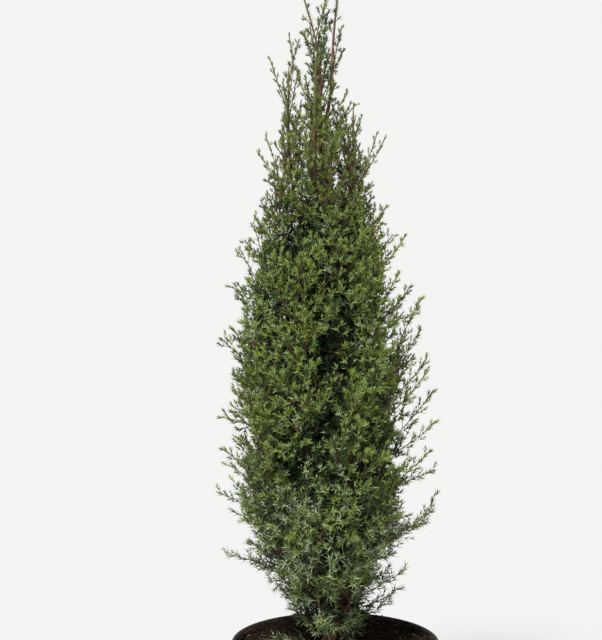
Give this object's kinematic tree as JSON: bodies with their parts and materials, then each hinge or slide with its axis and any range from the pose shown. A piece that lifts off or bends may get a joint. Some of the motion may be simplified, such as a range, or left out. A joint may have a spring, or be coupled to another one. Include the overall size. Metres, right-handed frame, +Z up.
{
  "type": "potted juniper shrub",
  "caption": "Upright columnar evergreen juniper with dense needle foliage, a bare reddish trunk foot and a plain round dark nursery pot filled with potting soil.",
  "frame": {"origin": "middle of the pot's flat underside, on the surface it stands on", "axes": "+Z straight up along the pot's axis, -Y towards the pictured front, +X to the right seen from the front"},
  "size_m": [0.2768, 0.2596, 1.0313],
  "materials": {
    "pot_plastic": "near-black moulded plastic, softly scuffed",
    "potting_soil": "dark moist potting soil with bark chips",
    "bark": "thin red-brown peeling bark",
    "needles": "matte green needles with a blue-white inner band"
  },
  "bodies": {
    "root": {"pot": "pot_plastic", "soil": "potting_soil", "trunk": "bark", "second_leader": "bark", "bough_skirt_1": "bark", "bough_skirt_2": "bark", "bough_skirt_3": "bark", "bough_skirt_4": "bark", "bough_skirt_5": "bark", "bough_lower_1": "bark", "bough_lower_2": "bark", "bough_lower_3": "bark", "bough_lower_4": "bark", "bough_lower_5": "bark", "bough_middle_1": "bark", "bough_middle_2": "bark", "bough_middle_3": "bark", "bough_middle_4": "bark", "bough_middle_5": "bark", "bough_upper_1": "bark", "bough_upper_2": "bark", "bough_upper_3": "bark", "bough_upper_4": "bark", "bough_shoulder_left": "bark", "bough_shoulder_back": "bark", "bough_shoulder_right": "bark", "bough_shoulder_front": "bark", "foliage_skirt_1": "needles", "foliage_skirt_2": "needles", "foliage_skirt_3": "needles", "foliage_skirt_4": "needles", "foliage_skirt_5": "needles", "foliage_lower_1": "needles", "foliage_lower_2": "needles", "foliage_lower_3": "needles", "foliage_lower_4": "needles", "foliage_lower_5": "needles", "foliage_middle_1": "needles", "foliage_middle_2": "needles", "foliage_middle_3": "needles", "foliage_middle_4": "needles", "foliage_middle_5": "needles", "foliage_upper_1": "needles", "foliage_upper_2": "needles", "foliage_upper_3": "needles", "foliage_upper_4": "needles", "foliage_shoulder_left": "needles", "foliage_shoulder_back": "needles", "foliage_shoulder_right": "needles", "foliage_shoulder_front": "needles", "foliage_left_shoot": "needles", "foliage_right_shoot": "needles"}
  },
  "joints": []
}
